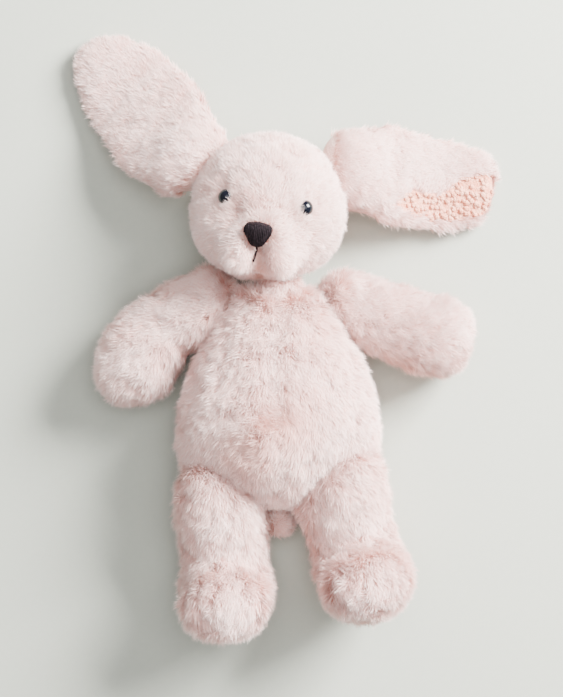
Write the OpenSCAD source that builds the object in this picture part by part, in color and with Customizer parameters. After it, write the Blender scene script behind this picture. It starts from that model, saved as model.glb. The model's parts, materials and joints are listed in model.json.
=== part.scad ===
// Soft plush rabbit with long floppy ears, lying on its back.
// +Z is the rabbit's front, +Y runs towards its head, +X is its own left.
// The origin is on the flat patch of the back that it rests on.
// Each sewn panel is a shell of plush as thick as its laid pile, around stuffing.

/* [Plush] */
// Thickness of the plush with its pile laid
plush_t = 3; // [2:0.5:4]
// Gap between parts that turn on each other
move_gap = 0.6; // [0.4:0.1:1]

/* [Torso] */
// Half of the torso's length, neck to seat
torso_half_len = 52; // [42:1:64]
// Half of the torso's width
torso_half_w = 43; // [36:0.5:52]
// Half of the torso's depth
torso_half_d = 29; // [24:0.5:36]
// How far the middle of the torso is above the surface it lies on
torso_mid_z = 26; // [20:0.5:32]

/* [Neck] */
// Radius of the ball of stuffing in the neck
neck_r = 13; // [11:0.5:14]
// How far the neck's centre lies inside the torso's upper end
neck_sink = 2; // [0:0.5:6]

/* [Head] */
// Half of the head's width
head_half_w = 33; // [27:0.5:39]
// Half of the head's height, chin to crown
head_half_h = 32; // [27:0.5:38]
// Half of the head's depth, back to face
head_half_d = 30; // [25:0.5:36]
// Distance from the neck's centre to the middle of the head
head_rise = 36.5; // [32:0.5:42]
// Tilt of the head towards the rabbit's left
head_roll = 8; // [0:1:15]
// How far the muzzle stands out
muzzle_out = 4; // [0:0.5:7]

/* [Face] */
// Distance between the eyes
eye_spacing = 36; // [28:0.5:42]
// Diameter of an eye
eye_d = 6.8; // [6:0.2:10]
// How far an eye stands out of the plush
eye_out = 2; // [1:0.1:3]
// Diameter of an eye's shank
shank_d = 2.8; // [2:0.2:4]
// Diameter of the lock washer behind an eye
washer_d = 9.5; // [8:0.5:12]
// Width of the nose
nose_w = 12.4; // [8:0.5:15]
// Height of the nose
nose_h = 10.8; // [8:0.5:13]

/* [Ears] */
// Length of an ear from its root
ear_len = 74; // [55:1:90]
// Half of an ear's greatest width
ear_half_w = 24.5; // [18:0.5:27]
// Half of an ear's thickness
ear_half_t = 4.6; // [3.5:0.1:6]
// Radius of an ear's gathered root
ear_root_r = 12; // [9:0.5:13]
// Where an ear folds, as a distance from its root
ear_fold_at = 24; // [20:0.5:32]

/* [Arms] */
// Length of an arm from the shoulder, along its curve
arm_len = 57; // [48:1:70]
// Radius of an arm at the shoulder
arm_root_r = 13.5; // [11:0.5:16]
// Radius of a paw
paw_r = 17; // [13:0.5:20]

/* [Legs] */
// Length of a leg's straight stretch below the hip
shank_len = 23; // [16:1:30]
// Radius of a leg at the hip
leg_root_r = 17; // [14:0.5:19]
// Half of a foot's width
foot_half_w = 19; // [15:0.5:23]
// Length of a foot past the ankle's bend
foot_len = 10; // [6:1:18]

/* [Tail] */
// Radius of the tail puff
tail_r = 8; // [6:0.5:9]

/* [Hidden] */
$fn = 64;
rings = 14;
panel_steps = 8;

// Where the parts meet
neck_c = [0, torso_half_len - neck_sink, 25];
head_c = neck_c + head_rise * [-0.13, 1, 0] + [0, 0, head_half_d - 1 - neck_c.z];
shoulders = [
  [8.5 - torso_half_w, torso_half_len - 12.5, 18],
  [torso_half_w - 8.5, torso_half_len - 11, 18]
];
hips = [[17 - torso_half_w, 3 - torso_half_len, 20], [torso_half_w - 16, 9 - torso_half_len, 20]];
tail_root = [0, 5.5 - torso_half_len, 12];
tail_dir = [0, -1, -0.2];
tail_reach = 10.5;
tail_root_r = tail_r * 0.75;
tail_stem_r = tail_r * 0.55;
ear_place = [head_half_w - 0.5, 21.5, -7];

// How the torso narrows from its seat to its neck
pear_share = 0.28;
pear_lean = 1.5;
pear_round = 0.38;

// Pairs are [right, left]: headings turn from +X, splay from -Y, pitch from upright
arm_heading = [-5, -20];
arm_bend = [-95, 6];
leg_splay = [3, 18];
foot_pitch = [26, 2];
ear_heading = [135, -3];
leg_drop = -3.5;
ankle_bend_r = 17;

// Ways an arm turns into the torso, as [heading, rise], and how far a raised leg rises
arm_ways = [[[195, 66]], [[-38, 54], [-45, 0]]];
leg_rises = [40, 72];
hollow_ease = 1.02;
hollow_reach = 1.5;
hollow_sides = 24;

// Stuffing: the loose wad in a limb's root, and the bag of pellets in the seat
wad_gap = 0.2;
bag_c = [0, -22, torso_mid_z];
bag_r = 15;

// Muzzle: how wide its swell is over the nose, and the two cheek puffs under it
swell_spread = 13;
puff_spread = 9;
puff_shift = 9;
swell_share = 0.9;
swell_depth = 30;

// Face
eye_at = [eye_spacing / 2, 0.5];
nose_at = [-2, -12.5];
nose_sink = plush_t / 2;
nose_out = 2.3;
nose_dome_r = 14;
eye_sink = 1.4;
eye_dome_share = 0.56;
washer_t = 1.4;
washer_back = plush_t + 1;
shank_end = 11;
bore_gap = 0.1;
mouth_size = [1.1, 3.5];
mouth_out = 0.8;
mouth_drop = nose_h * 0.76;
cut_through = 12;

// ---------- Curves ----------

function unit(v) = v / norm(v);

function heading_to(turn, rise) = [cos(rise) * cos(turn), cos(rise) * sin(turn), sin(rise)];

// Sine-eased step from 0 to 1 between two values
function ease(a, b, x) = let (t = max(0, min(1, (x - a) / (b - a)))) (1 - cos(180 * t)) / 2;

// Angles of one panel's arc
function arc_steps(from, to, steps = panel_steps) = [for (j = [0:steps]) from + (to - from) * j / steps];

// All the angles of several neighbouring panels, each once
function joined(arcs) = [for (arc = arcs) for (j = [0:len(arc) - 2]) arc[j]];

// A ring is [centre, side direction, up direction, half width, half depth]
function ring_point(ring, angle) =
  ring[0] + ring[1] * ring[3] * cos(angle) + ring[2] * ring[4] * sin(angle);

// Soft parts go flat where they rest, at a height for each layer
function rested(p, height) = [p.x, p.y, max(p.z, height)];

function grid(ring_list, angles, rest) =
  [for (ring = ring_list) [for (a = angles) rested(ring_point(ring, a), rest)]];

// ---------- Closed solids from grids, both ends drawn to a point ----------

// Place of a grid point in the list of points, where m is the number of points in a row
function place(layer, i, j, n, m) =
  layer * (2 + (n - 1) * m) + (i == 0 ? 0 : i == n ? 1 + (n - 1) * m : 1 + (i - 1) * m + j);

function grid_points(g) =
  let (n = len(g) - 1)
  concat([g[0][0]], [for (i = [1:n - 1]) each g[i]], [g[n][0]]);

// Triangles between two rows, cut along the same diagonal everywhere
function cell(layer, i, j, k, n, m, flip) =
  let (a = place(layer, i, j, n, m), b = place(layer, i, k, n, m))
  let (c = place(layer, i + 1, k, n, m), d = place(layer, i + 1, j, n, m))
  let (one = i + 1 == n ? [] : [flip ? [a, c, d] : [a, d, c]])
  let (two = i == 0 ? [] : [flip ? [a, b, c] : [a, c, b]])
  concat(one, two);

function wall(i, j, n, m, flip) =
  let (a = place(0, i, j, n, m), b = place(0, i + 1, j, n, m))
  let (c = place(1, i + 1, j, n, m), d = place(1, i, j, n, m))
  flip ? [[a, b, c], [a, c, d]] : [[a, c, b], [a, d, c]];

// A sewn panel: the space between an outer and an inner grid
module panel(outer, inner) {
  n = len(outer) - 1;
  m = len(outer[0]);
  skin = [for (i = [0:n - 1]) for (j = [0:m - 2]) each cell(0, i, j, j + 1, n, m, false)];
  lining = [for (i = [0:n - 1]) for (j = [0:m - 2]) each cell(1, i, j, j + 1, n, m, true)];
  edges = [for (i = [0:n - 1]) each concat(wall(i, 0, n, m, false), wall(i, m - 1, n, m, true))];
  polyhedron(concat(grid_points(outer), grid_points(inner)), concat(skin, lining, edges));
}

// Stuffing: the closed space inside one grid whose rows go all the way round
module filling(g) {
  n = len(g) - 1;
  m = len(g[0]);
  polyhedron(
    grid_points(g),
    [for (i = [0:n - 1]) for (j = [0:m - 1]) each cell(0, i, j, (j + 1) % m, n, m, false)]
  );
}

// ---------- Torso ----------

// Half width and half depth follow a pear, widest below the waist
function torso_ring(u, inset) =
  let (share = pow(1 - u * u, pear_round) * (1 - pear_share * u))
  [
    [0, u * (torso_half_len - inset), torso_mid_z - pear_lean * u], [-1, 0, 0], [0, 0, 1],
    max(torso_half_w * share - inset, 0), max(torso_half_d * share - inset, 0)
  ];

function torso_rings(inset) = [for (i = [0:rings]) torso_ring(-cos(180 * i / rings), inset)];

torso_arcs = [arc_steps(0, 90), arc_steps(90, 180), arc_steps(180, 270), arc_steps(270, 360)];

// Room for the root of a limb, and for each way [heading, rise] that it can turn into the torso
module limb_hollow(c, r, ways) {
  for (way = ways) hull() {
    translate(c) sphere(r * hollow_ease, $fn = hollow_sides);
    translate(c + r * hollow_reach * heading_to(way[0], way[1]))
      sphere(r * hollow_ease, $fn = hollow_sides);
  }
}

// An arm swings forward and is lowered beside the body; a leg is raised forward
module sockets(k) {
  translate(neck_c) sphere(neck_r + move_gap);
  translate(tail_root) sphere(tail_root_r + move_gap);
  limb_hollow(hips[k], leg_root_r + move_gap, [for (rise = leg_rises) [leg_splay[k] - 90, rise]]);
  limb_hollow(shoulders[k], arm_root_r + move_gap, arm_ways[k]);
}

module torso_panel(arc, k) {
  difference() {
    panel(grid(torso_rings(0), arc, 0), grid(torso_rings(plush_t), arc, plush_t));
    sockets(k);
  }
}

module seat_pocket() {
  translate(bag_c) sphere(bag_r);
}

module torso_stuffing() {
  color("white") difference() {
    filling(grid(torso_rings(plush_t), joined(torso_arcs), plush_t));
    sockets(0);
    sockets(1);
    seat_pocket();
  }
}

module torso_front_right() { color("mistyrose") torso_panel(torso_arcs[0], 0); }
module torso_front_left() { color("mistyrose") torso_panel(torso_arcs[1], 1); }
module torso_back_left() { color("pink") torso_panel(torso_arcs[2], 1); }
module torso_back_right() { color("pink") torso_panel(torso_arcs[3], 0); }
module seat_pellet_bag() { color("lightgray") seat_pocket(); }

// ---------- Head, in its own frame around its middle ----------

module on_head() {
  translate(head_c) rotate([0, 0, -head_roll]) children();
}

function swell(p, c, spread) = exp(-pow(norm(p - c) / spread, 2));

// The muzzle stands out over the nose, with a puff of cheek on each side under it
function head_swell(p) =
  let (at = [nose_at.x, nose_at.y, head_half_d - 4])
  let (puff = [nose_at.x, nose_at.y - puff_shift, head_half_d - 7])
  muzzle_out * swell_share * (
    swell(p, at, swell_spread)
    + swell(p, puff - [puff_shift, 0, 0], puff_spread)
    + swell(p, puff + [puff_shift, 0, 0], puff_spread)
  );

function head_point(lat, angle, inset) =
  let (flat_dir = [-cos(lat) * cos(angle), sin(lat), cos(lat) * sin(angle)])
  let (size = [head_half_w, head_half_h, head_half_d])
  let (on_skin = [flat_dir.x * size.x, flat_dir.y * size.y, flat_dir.z * size.z])
  let (p = on_skin * (1 + head_swell(on_skin) / swell_depth) - flat_dir * inset)
  [p.x, p.y, max(p.z, inset - head_c.z)];

function head_grid(arc, inset) =
  [for (i = [0:rings]) [for (a = arc) head_point(-90 + 180 * i / rings, a, inset)]];

// The gusset's seams run just inside the eyes
seam_a = acos((eye_spacing / 2 - eye_d / 2 - 1.2) / head_half_w);
head_arcs = [
  arc_steps(seam_a, 180 - seam_a, 6), arc_steps(180 - seam_a, 204), arc_steps(204, 270, 6),
  arc_steps(270, 336, 6), arc_steps(-24, seam_a)
];
head_arcs_in_order = [head_arcs[4], head_arcs[0], head_arcs[1], head_arcs[2], head_arcs[3]];

// A small frame on the skin of the face, with its Z pointing out
module on_face(at, lift = 0) {
  depth = head_half_d * sqrt(1 - pow(at.x / head_half_w, 2) - pow(at.y / head_half_h, 2));
  skin = [at.x, at.y, depth];
  out = unit([at.x / pow(head_half_w, 2), at.y / pow(head_half_h, 2), depth / pow(head_half_d, 2)]);
  p = skin * (1 + head_swell(skin) / swell_depth) + out * lift;
  translate(p) rotate([-asin(out.y), atan2(out.x, out.z), 0]) children();
}

function eye_place(side) = [side * eye_at.x + nose_at.x / 2, eye_at.y];

// A cut through the plush for an eye's dome, its washer and its shank
module eye_seat(side, d, from) {
  on_face(eye_place(side)) {
    translate([0, 0, -from]) cylinder(d = d + 2 * bore_gap, h = cut_through);
    translate([0, 0, -cut_through]) cylinder(d = shank_d + 2 * bore_gap, h = 2 * cut_through);
  }
}

module shield() {
  hull() {
    translate([-nose_w * 0.28, nose_h * 0.2]) circle(nose_w * 0.22);
    translate([nose_w * 0.28, nose_h * 0.2]) circle(nose_w * 0.22);
    translate([0, -nose_h * 0.13]) circle(nose_h * 0.37);
    translate([0, nose_h * 0.42]) circle(nose_h * 0.08);
  }
}

module nose_seat() {
  on_face(nose_at, -nose_sink) linear_extrude(cut_through) shield();
}

module mouth_seat() {
  on_face(nose_at - [0, mouth_drop], -nose_sink)
    linear_extrude(cut_through) square(mouth_size + bore_gap * [1, 1], center = true);
}

module neck_socket() {
  translate(neck_c) sphere(neck_r + move_gap);
}

module head_panel(arc) {
  difference() {
    on_head() panel(head_grid(arc, 0), head_grid(arc, plush_t));
    neck_socket();
    children();
  }
}

module ear_socket(side) {
  on_head() translate([side * ear_place.x, ear_place.y, ear_place.z])
    sphere(ear_root_r + move_gap);
}

module head_gusset() {
  color("mistyrose") head_panel(head_arcs[0]) {
    on_head() nose_seat();
    on_head() mouth_seat();
  }
}
module head_left_side() {
  color("mistyrose") head_panel(head_arcs[1]) {
    on_head() eye_seat(1, eye_d, eye_sink);
    ear_socket(1);
  }
}
module head_right_side() {
  color("mistyrose") head_panel(head_arcs[4]) {
    on_head() eye_seat(-1, eye_d, eye_sink);
    ear_socket(-1);
  }
}
module head_back_left() { color("pink") head_panel(head_arcs[2]) ear_socket(1); }
module head_back_right() { color("pink") head_panel(head_arcs[3]) ear_socket(-1); }

module head_stuffing() {
  color("white") difference() {
    on_head() filling(head_grid(joined(head_arcs_in_order), plush_t));
    neck_socket();
    for (side = [-1, 1]) {
      ear_socket(side);
      on_head() eye_seat(side, washer_d, washer_back + washer_t + bore_gap);
    }
  }
}

module nose() {
  color("dimgray") on_head() on_face(nose_at, -nose_sink) intersection() {
    linear_extrude(nose_sink + nose_out) shield();
    translate([0, 0, nose_sink + nose_out - nose_dome_r]) sphere(nose_dome_r);
  }
}
module mouth_stitch() {
  color("dimgray") on_head() on_face(nose_at - [0, mouth_drop], -nose_sink)
    linear_extrude(nose_sink + mouth_out) square(mouth_size, center = true);
}

module eye(side) {
  color("black") on_head() on_face(eye_place(side)) {
    intersection() {
      translate([0, 0, -eye_sink]) cylinder(d = eye_d, h = eye_sink + eye_out);
      translate([0, 0, eye_out - eye_d * eye_dome_share]) sphere(r = eye_d * eye_dome_share);
    }
    translate([0, 0, -shank_end]) cylinder(d = shank_d, h = shank_end - eye_sink / 2);
  }
}
module eye_washer(side) {
  color("gainsboro") on_head() on_face(eye_place(side))
    translate([0, 0, -washer_back - washer_t]) difference() {
      cylinder(d = washer_d, h = washer_t);
      translate([0, 0, -washer_t]) cylinder(d = shank_d, h = 3 * washer_t);
    }
}
module eye_left() { eye(1); }
module eye_right() { eye(-1); }
module eye_left_washer() { eye_washer(1); }
module eye_right_washer() { eye_washer(-1); }

module neck_wad() { color("white") translate(neck_c) sphere(neck_r); }

// ---------- Limbs ----------

// Rings of a round root, from its pole to its full width
function root_rings(c, side, up, dir, w, d, along, inset) =
  [for (a = [0, 22, 44, 66]) [c - dir * (along - inset) * cos(a), side, up,
                              (w - inset) * sin(a), (d - inset) * sin(a)]];

// Closing of a limb's end: 1 until the cap starts, then a round fall to 0
function cap(s, start) = s <= start ? 1 : sqrt(max(0, 1 - pow((s - start) / (1 - start), 2)));

limb_arcs = [arc_steps(0, 180, 10), arc_steps(180, 360, 10)];
limb_steps = 10;

// ---------- Arms, drawn to the rabbit's left and mirrored for its right ----------

function arm_z(s) = shoulders[0].z + (paw_r - 0.5 - shoulders[0].z) * ease(0, 0.7, s);

function arm_point(k, s) =
  let (bend = arm_bend[k], h0 = arm_heading[k], turn = bend * PI / 180)
  let (run = arm_len / turn)
  [
    run * (sin(h0 + bend * s) - sin(h0)),
    run * (cos(h0) - cos(h0 + bend * s)),
    arm_z(s) - shoulders[0].z
  ];

function arm_ring(k, s, inset) =
  let (h = arm_heading[k] + arm_bend[k] * s)
  let (r = (arm_root_r + (paw_r - arm_root_r) * ease(0.1, 0.7, s)) * cap(s, 0.74))
  let (reach = 1 - inset / arm_len)
  [arm_point(k, s * reach), [-sin(h), cos(h), 0], [0, 0, 1], max(r - inset * cap(s, 0.74), 0),
   max(r - inset * cap(s, 0.74), 0)];

function arm_rings(k, inset) =
  let (h = arm_heading[k])
  concat(
    root_rings([0, 0, 0], [-sin(h), cos(h), 0], [0, 0, 1], [cos(h), sin(h), 0],
               arm_root_r, arm_root_r, arm_root_r, inset),
    [for (i = [0:limb_steps]) arm_ring(k, sin(90 * i / limb_steps), inset)]
  );

module at_shoulder(k) {
  translate(shoulders[k]) mirror([k == 0 ? 1 : 0, 0, 0]) children();
}

module arm_panel(k, arc) {
  low = -shoulders[k].z;
  at_shoulder(k) panel(
    grid(arm_rings(k, 0), arc, low), grid(arm_rings(k, plush_t), arc, low + plush_t)
  );
}
module arm_stuffing(k) {
  color("white") difference() {
    at_shoulder(k)
      filling(grid(arm_rings(k, plush_t), joined(limb_arcs), plush_t - shoulders[k].z));
    translate(shoulders[k]) sphere(arm_root_r - plush_t + wad_gap);
  }
}
module shoulder_wad(k) {
  color("white") translate(shoulders[k]) sphere(arm_root_r - plush_t - move_gap);
}

module arm_right_front() { color("mistyrose") arm_panel(0, limb_arcs[0]); }
module arm_right_back() { color("pink") arm_panel(0, limb_arcs[1]); }
module arm_right_stuffing() { arm_stuffing(0); }
module shoulder_right_wad() { shoulder_wad(0); }
module arm_left_front() { color("mistyrose") arm_panel(1, limb_arcs[0]); }
module arm_left_back() { color("pink") arm_panel(1, limb_arcs[1]); }
module arm_left_stuffing() { arm_stuffing(1); }
module shoulder_left_wad() { shoulder_wad(1); }

// ---------- Legs: a straight shank, an ankle bend and a foot that stands up ----------

function leg_run(k) =
  let (turn = 90 - foot_pitch[k])
  [shank_len, ankle_bend_r * turn * PI / 180, foot_len + foot_half_w * 0.7];

// [distance out from the hip, height, direction's angle above the surface]
function leg_path(k, travel) =
  let (run = leg_run(k), turn = 90 - foot_pitch[k], drop = leg_drop)
  travel <= run[0] ? [travel, drop * ease(0, run[0], travel), 0]
  : travel <= run[0] + run[1]
    ? let (a = turn * (travel - run[0]) / run[1])
      [run[0] + ankle_bend_r * sin(a), drop + ankle_bend_r * (1 - cos(a)), a]
  : let (rest = travel - run[0] - run[1])
    [run[0] + ankle_bend_r * sin(turn) + rest * cos(turn),
     drop + ankle_bend_r * (1 - cos(turn)) + rest * sin(turn), turn];

function leg_ring(k, s, inset) =
  let (run = leg_run(k), total = run[0] + run[1] + run[2], at = leg_path(k, s * (total - inset)))
  let (splay = leg_splay[k], out = [sin(splay), -cos(splay), 0], side = [cos(splay), sin(splay), 0])
  let (dir = out * cos(at[2]) + [0, 0, 1] * sin(at[2]), close = cap(s, 0.8))
  let (w = leg_root_r + (foot_half_w - leg_root_r) * ease(0.2, 0.6, s))
  let (d = leg_root_r + (foot_half_w * 0.78 - leg_root_r) * ease(0.3, 0.75, s))
  [out * at[0] + [0, 0, at[1]], side, cross(dir, side), (w - inset) * close, (d - inset) * close];

function leg_rings(k, inset) =
  let (splay = leg_splay[k], out = [sin(splay), -cos(splay), 0], side = [cos(splay), sin(splay), 0])
  concat(
    root_rings([0, 0, 0], side, [0, 0, 1], out, leg_root_r, leg_root_r, leg_root_r, inset),
    [for (i = [0:limb_steps + 2]) leg_ring(k, sin(90 * i / (limb_steps + 2)), inset)]
  );

module at_hip(k) {
  translate(hips[k]) children();
}

module leg_panel(k, arc) {
  low = -hips[k].z;
  at_hip(k) panel(
    grid(leg_rings(k, 0), arc, low), grid(leg_rings(k, plush_t), arc, low + plush_t)
  );
}
module leg_stuffing(k) {
  color("white") difference() {
    at_hip(k) filling(grid(leg_rings(k, plush_t), joined(limb_arcs), plush_t - hips[k].z));
    translate(hips[k]) sphere(leg_root_r - plush_t + wad_gap);
  }
}
module hip_wad(k) {
  color("white") translate(hips[k]) sphere(leg_root_r - plush_t - move_gap);
}

module leg_right_front() { color("mistyrose") leg_panel(0, limb_arcs[0]); }
module leg_right_back() { color("pink") leg_panel(0, limb_arcs[1]); }
module leg_right_stuffing() { leg_stuffing(0); }
module hip_right_wad() { hip_wad(0); }
module leg_left_front() { color("mistyrose") leg_panel(1, limb_arcs[0]); }
module leg_left_back() { color("pink") leg_panel(1, limb_arcs[1]); }
module leg_left_stuffing() { leg_stuffing(1); }
module hip_left_wad() { hip_wad(1); }

// ---------- Ears, drawn pointing along +X from the root ----------

// Half width of an ear at a share of its length
function ear_outline(s) =
  (ear_root_r + (ear_half_w - ear_root_r) * ease(-0.04, 0.3, s)) * cap(s, 0.48);

// The ear drops from its root to the surface that it lies on
ear_root_z = head_c.z + ear_place.z;
function ear_z(s) = (ear_half_t - ear_root_z) * ease(0.05, 0.75, s);

function ear_half(s) = ear_root_r + (ear_half_t - ear_root_r) * ease(0, 0.3, s);

function ear_ring(s, shrink = 1) =
  [[s * ear_len, 0, ear_z(s)], [0, 1, 0], [0, 0, 1], ear_outline(s) * shrink,
   ear_half(s) * cap(s, 0.93) * shrink];

fold_s = ear_fold_at / ear_len;
fold_c = [ear_fold_at, 0, ear_z(fold_s)];
fold_r = ear_half(fold_s);
root_end = ear_fold_at - fold_r * 0.8;

ear_around = arc_steps(0, 360, 24);
ear_root_list = concat(
  root_rings([0, 0, 0], [0, 1, 0], [0, 0, 1], [1, 0, 0], ear_root_r, ear_root_r, ear_root_r, 0),
  [for (i = [0:4]) ear_ring(i / 4 * root_end / ear_len)],
  [ear_ring(root_end / ear_len, 0)]
);

blade_rings = concat(
  [for (a = [22, 44, 66]) [fold_c - [fold_r * cos(a), 0, 0], [0, 1, 0], [0, 0, 1],
    ear_outline(fold_s) * (0.9 + 0.1 * sin(a)), fold_r * sin(a)]],
  [for (i = [0:10]) ear_ring(fold_s + (1 - fold_s) * sin(90 * i / 10))]
);

module on_ear(k) {
  side = k == 0 ? -1 : 1;
  on_head() translate([side * ear_place.x, ear_place.y, ear_place.z])
    rotate([0, 0, ear_heading[k] + head_roll]) children();
}

module ear_root(k) {
  color("mistyrose") on_ear(k) difference() {
    filling(grid(ear_root_list, joined([ear_around]), -ear_root_z));
    translate(fold_c) rotate([90, 0, 0])
      cylinder(r = fold_r + move_gap, h = 4 * ear_half_w, center = true);
  }
}

// Plush wraps over the top and both edges of the blade, and the lining closes it underneath
plush_arc = arc_steps(-20, 200, 12);
lining_arc = arc_steps(200, 340, 8);

// A layer of the blade: flat at its fold, drawn to a point at the tip
module blade_part(arc) {
  n = len(blade_rings) - 1;
  m = len(arc);
  rows = grid(blade_rings, arc, -ear_root_z);
  points = concat([for (i = [0:n - 1]) each rows[i]], [rows[n][0]]);
  fold_end = [[for (j = [0:m - 1]) j]];
  tip = [for (j = [0:m - 1]) [(n - 1) * m + (j + 1) % m, (n - 1) * m + j, n * m]];
  skin = [for (i = [0:n - 2]) for (j = [0:m - 1]) let (k = (j + 1) % m)
    each [[i * m + j, (i + 1) * m + j, (i + 1) * m + k], [i * m + j, (i + 1) * m + k, i * m + k]]];
  polyhedron(points, concat(fold_end, skin, tip));
}

module ear_left_root() { ear_root(1); }
module ear_left_plush() { color("mistyrose") on_ear(1) blade_part(plush_arc); }
module ear_left_lining() { color("peachpuff") on_ear(1) blade_part(lining_arc); }
module ear_right_root() { ear_root(0); }
module ear_right_plush() { color("mistyrose") on_ear(0) blade_part(plush_arc); }
module ear_right_lining() { color("peachpuff") on_ear(0) blade_part(lining_arc); }

// ---------- Tail ----------

tail_c = tail_root + unit(tail_dir) * tail_reach;

// A puff on a short stem
module tail_shape(inset) {
  translate(tail_c) sphere(tail_r - inset);
  translate(tail_root) {
    sphere(tail_root_r - inset);
    rotate([90 - asin(unit(tail_dir).z), 0, 0]) cylinder(r = tail_stem_r - inset, h = tail_reach);
  }
}

module tail_cover() {
  color("mistyrose") difference() {
    tail_shape(0);
    tail_shape(plush_t);
  }
}
module tail_stuffing() { color("white") tail_shape(plush_t); }

head_gusset();
head_left_side();
head_right_side();
head_back_left();
head_back_right();
head_stuffing();
nose();
mouth_stitch();
eye_left();
eye_right();
eye_left_washer();
eye_right_washer();
neck_wad();
torso_front_left();
torso_front_right();
torso_back_left();
torso_back_right();
torso_stuffing();
seat_pellet_bag();
ear_left_root();
ear_left_plush();
ear_left_lining();
ear_right_root();
ear_right_plush();
ear_right_lining();
arm_left_front();
arm_left_back();
arm_left_stuffing();
shoulder_left_wad();
arm_right_front();
arm_right_back();
arm_right_stuffing();
shoulder_right_wad();
leg_left_front();
leg_left_back();
leg_left_stuffing();
hip_left_wad();
leg_right_front();
leg_right_back();
leg_right_stuffing();
hip_right_wad();
tail_cover();
tail_stuffing();
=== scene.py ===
import json
import math
import random
import bmesh
import bpy
import numpy as np
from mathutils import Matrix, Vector
from mathutils.bvhtree import BVHTree

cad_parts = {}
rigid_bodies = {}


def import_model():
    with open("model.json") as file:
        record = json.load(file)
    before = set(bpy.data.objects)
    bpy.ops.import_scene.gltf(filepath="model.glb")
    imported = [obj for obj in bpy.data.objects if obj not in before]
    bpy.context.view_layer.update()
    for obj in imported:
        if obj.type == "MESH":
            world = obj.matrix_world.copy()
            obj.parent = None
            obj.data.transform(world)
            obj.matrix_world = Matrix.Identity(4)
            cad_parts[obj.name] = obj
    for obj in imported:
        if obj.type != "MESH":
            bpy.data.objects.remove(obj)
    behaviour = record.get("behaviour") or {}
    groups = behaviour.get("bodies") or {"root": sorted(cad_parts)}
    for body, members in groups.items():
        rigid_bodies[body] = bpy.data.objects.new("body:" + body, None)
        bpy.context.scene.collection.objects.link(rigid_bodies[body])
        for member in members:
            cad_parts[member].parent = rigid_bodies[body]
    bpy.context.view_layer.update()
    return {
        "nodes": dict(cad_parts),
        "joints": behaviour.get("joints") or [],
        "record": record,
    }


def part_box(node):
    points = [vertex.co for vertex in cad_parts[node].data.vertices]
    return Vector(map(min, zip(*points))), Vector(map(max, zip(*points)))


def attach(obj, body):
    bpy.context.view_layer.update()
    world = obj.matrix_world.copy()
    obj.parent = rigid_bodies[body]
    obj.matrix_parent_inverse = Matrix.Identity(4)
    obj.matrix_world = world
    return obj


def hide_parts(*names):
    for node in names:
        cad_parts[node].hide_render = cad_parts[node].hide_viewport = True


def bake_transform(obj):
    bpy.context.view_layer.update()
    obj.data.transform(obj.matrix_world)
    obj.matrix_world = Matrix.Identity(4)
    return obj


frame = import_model()
MM = 0.001
NODES = frame["nodes"]
BODIES = frame["record"]["behaviour"]["bodies"]
PIVOT = {j["name"]: np.array(j["pos_m"]) for j in frame["joints"]}
AXIS = {j["name"]: np.array(j["axis"]) for j in frame["joints"]}
SIDES = ("left", "right")
OUT_X = {"left": 1, "right": -1}
FLOOR_GAP = 0.15 * MM
# How far a cover stays off the surface it lies on, and how softly the pile there is pressed
SKIN_GAP = 1.8 * MM
PRESS_SOFT = 2.5 * MM


# ---------- Places ----------

def middle(*nodes):
    """Middle of the box round some of the frame's nodes."""
    low = np.min([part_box(n)[0] for n in nodes], axis=0)
    high = np.max([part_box(n)[1] for n in nodes], axis=0)
    return (low + high) / 2


def unit(v):
    """Directions at length one."""
    v = np.asarray(v, float)
    return v / np.maximum(np.linalg.norm(v, axis=-1, keepdims=True), 1e-12)


def ease(low, high, x):
    """Smooth step from 0 at low to 1 at high, which may be the smaller of the two."""
    t = np.clip((x - low) / (high - low), 0, 1)
    return t * t * (3 - 2 * t)


HEAD_PANELS = [n for n in BODIES["head"] if n.startswith("head_") and "stuffing" not in n]
TORSO_PANELS = [n for n in BODIES["torso"] if n.startswith("torso_") and "stuffing" not in n]
HEAD_MID = middle(*HEAD_PANELS)
TORSO_MID = middle(*TORSO_PANELS)
TORSO_HALF = np.array(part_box("torso_front_left")[1]) - TORSO_MID
NOSE = middle("nose")
NOSE_OUT = unit(NOSE - HEAD_MID)
# How deep the outermost part of an eye is that counts as its dome
EYE_DOME = 2.0 * MM


def distance(co, place):
    return np.linalg.norm(co - place, axis=1)


def nearness(co, place, radius):
    """1 at a place, fading out with distance."""
    return np.exp(-(distance(co, place) / radius) ** 2)


def eye_place(side):
    """Middle of an eye's dome, and the direction that it looks in."""
    points = coords(NODES[f"eye_{side}"].data)
    reach = distance(points, HEAD_MID)
    middle_of_dome = points[reach > reach.max() - EYE_DOME].mean(axis=0)
    return middle_of_dome, unit(middle_of_dome - HEAD_MID)


# ---------- Mesh tools ----------

def rows(items, field):
    """A field of three numbers for each item, one row each."""
    out = np.empty(len(items) * 3, np.float32)
    items.foreach_get(field, out)
    return out.reshape(-1, 3).astype(float)


def coords(mesh):
    return rows(mesh.vertices, "co")


def set_coords(mesh, co):
    mesh.vertices.foreach_set("co", co.astype(np.float32).ravel())
    mesh.update()


def normals(mesh):
    return rows(mesh.vertex_normals, "vector")


def smooth_shaded(mesh):
    mesh.polygons.foreach_set("use_smooth", [True] * len(mesh.polygons))


def finished(bm, name):
    """Writes what was built to a new mesh, and frees the builder."""
    mesh = bpy.data.meshes.new(name)
    bm.to_mesh(mesh)
    bm.free()
    return mesh


def add_object(name, mesh):
    obj = bpy.data.objects.new(name, mesh)
    bpy.context.scene.collection.objects.link(obj)
    return obj


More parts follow.
